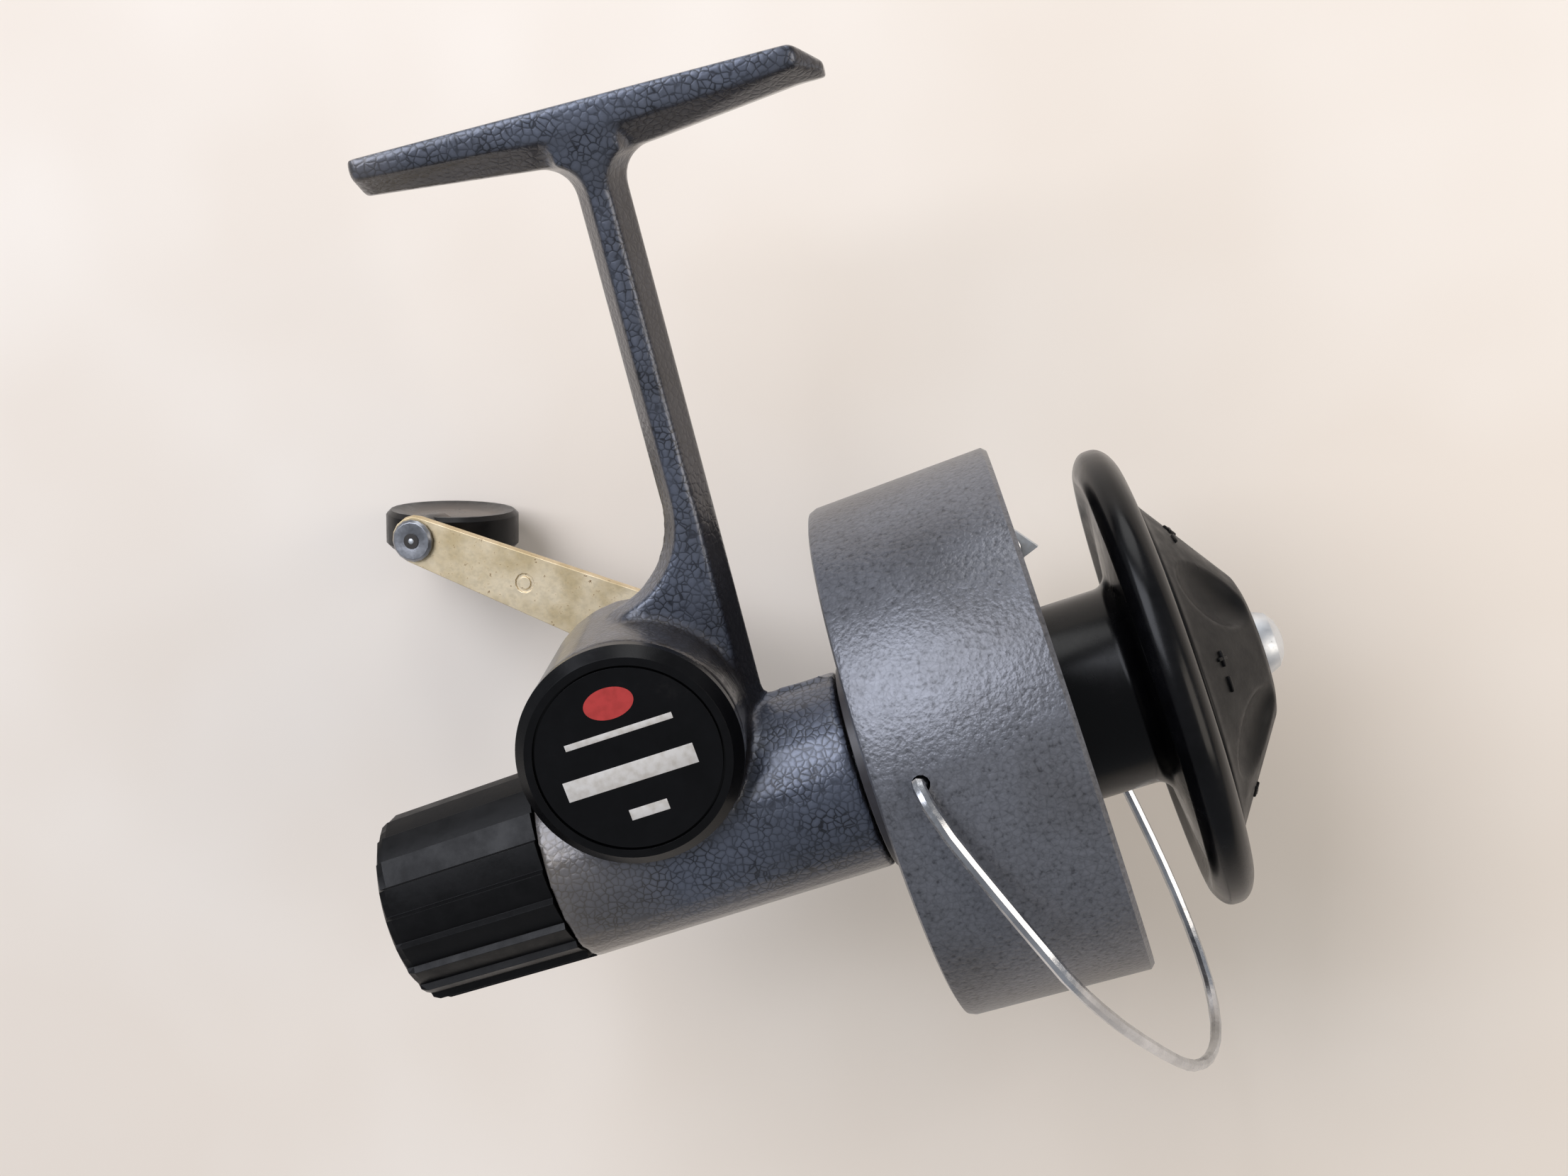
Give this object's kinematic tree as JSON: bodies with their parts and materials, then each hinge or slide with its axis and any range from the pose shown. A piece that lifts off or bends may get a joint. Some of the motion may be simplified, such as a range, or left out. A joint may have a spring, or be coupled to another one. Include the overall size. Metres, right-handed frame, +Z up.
{
  "type": "spinning reel",
  "caption": "Spinning fishing reel: hammered-paint cast body on a foot, rotor drum with a swinging wire bail, black spool with dimpled drag knob, crank with a round paddle knob",
  "frame": {"origin": "on the flat top of the foot, above the middle of the stem", "axes": "+Z up out of the foot's seat, towards the rod; +X forward along the rod, to the spool; +Y to the crank side"},
  "size_m": [0.127, 0.1095, 0.1474],
  "materials": {
    "hammer_paint": "silver-grey hammered paint on a light alloy casting",
    "black_gloss": "glossy black moulding",
    "black_satin": "satin black moulding",
    "badge": "painted disc, bare of any name",
    "bright_steel": "bright steel",
    "plated_metal": "worn plating",
    "bronze": "machined bronze",
    "fibre": "fibre washer"
  },
  "bodies": {
    "frame": {"body_casting": "hammer_paint", "side_cover": "black_gloss", "cover_badge": "badge", "front_collar": "plated_metal", "pinion_bearing": "bright_steel", "shaft_bush": "bronze", "pawl_pin": "bright_steel"},
    "drive": {"handle_shaft": "plated_metal", "drive_gear": "bronze", "crank_pin": "bright_steel", "crank_arm": "plated_metal", "handle_nut": "plated_metal", "handle_pin": "plated_metal"},
    "grip": {"handle_knob": "black_gloss"},
    "rotor": {"rotor_drum": "hammer_paint", "pinion": "bright_steel", "ratchet_wheel": "bright_steel", "rotor_nut": "bronze", "bail_pivot_screw": "bright_steel", "bail_spacer": "plated_metal"},
    "bail": {"bail_wire": "bright_steel", "bail_arm": "plated_metal", "wire_retainer": "plated_metal", "bail_spring": "bright_steel"},
    "roller": {"line_roller": "bright_steel"},
    "shaft": {"main_shaft": "bright_steel", "oscillation_yoke": "plated_metal", "yoke_screw": "bright_steel", "pressure_plate": "bright_steel", "drag_spring": "bright_steel", "button_spring": "bright_steel"},
    "spool_set": {"spool": "black_gloss", "spool_washer": "fibre", "drag_washer": "fibre"},
    "drag": {"drag_knob": "black_satin"},
    "button": {"release_button": "bright_steel"},
    "selector": {"rear_knob": "black_satin", "selector_rod": "bright_steel"},
    "catch": {"pawl": "bright_steel"}
  },
  "joints": [
    {"name": "crank_turn", "type": "hinge", "parent": "frame", "child": "drive", "pos_m": [-0.01281, 0, -0.07712], "axis": [0, 1, 0], "continuous": true},
    {"name": "knob_spin", "type": "hinge", "parent": "drive", "child": "grip", "pos_m": [-0.04921, 0.04659, -0.05442], "axis": [0.1764, 0.9781, -0.11], "continuous": true},
    {"name": "rotor_turn", "type": "hinge", "parent": "frame", "child": "rotor", "pos_m": [0.0293, 0, -0.0892], "axis": [0.9962, 0, 0.0872], "continuous": true},
    {"name": "bail_swing", "type": "hinge", "parent": "rotor", "child": "bail", "pos_m": [0.02199, -0.0336, -0.08255], "axis": [-0.1228, -0.992, 0.0303], "range_deg": [0, 110]},
    {"name": "roller_spin", "type": "hinge", "parent": "bail", "child": "roller", "pos_m": [0.03836, 0.03608, -0.07523], "axis": [0.1228, 0.992, -0.0303], "continuous": true},
    {"name": "shaft_stroke", "type": "slide", "parent": "frame", "child": "shaft", "axis": [0.9962, 0, 0.0872], "range_m": [-0.005, 0.004]},
    {"name": "spool_slip", "type": "hinge", "parent": "shaft", "child": "spool_set", "pos_m": [0.0293, 0, -0.0892], "axis": [0.9962, 0, 0.0872], "continuous": true},
    {"name": "drag_turn", "type": "hinge", "parent": "shaft", "child": "drag", "pos_m": [0.0293, 0, -0.0892], "axis": [0.9962, 0, 0.0872], "range_deg": [-180, 180]},
    {"name": "button_push", "type": "slide", "parent": "shaft", "child": "button", "axis": [0.9962, 0, 0.0872], "range_m": [-0.0012, 0], "stiffness_N_per_m": 400},
    {"name": "selector_turn", "type": "hinge", "parent": "frame", "child": "selector", "pos_m": [0.0293, 0, -0.0892], "axis": [0.9962, 0, 0.0872], "range_deg": [0, 26]},
    {"name": "pawl_tip", "type": "hinge", "parent": "frame", "child": "catch", "pos_m": [0.0301, 0, -0.09836], "axis": [0.9962, 0, 0.0872], "range_deg": [0, 12]}
  ],
  "couplings": [
    {"joint": "rotor_turn", "follows": "crank_turn", "ratio": -3.5},
    {"joint": "pawl_tip", "follows": "selector_turn", "ratio": 0.46154}
  ]
}
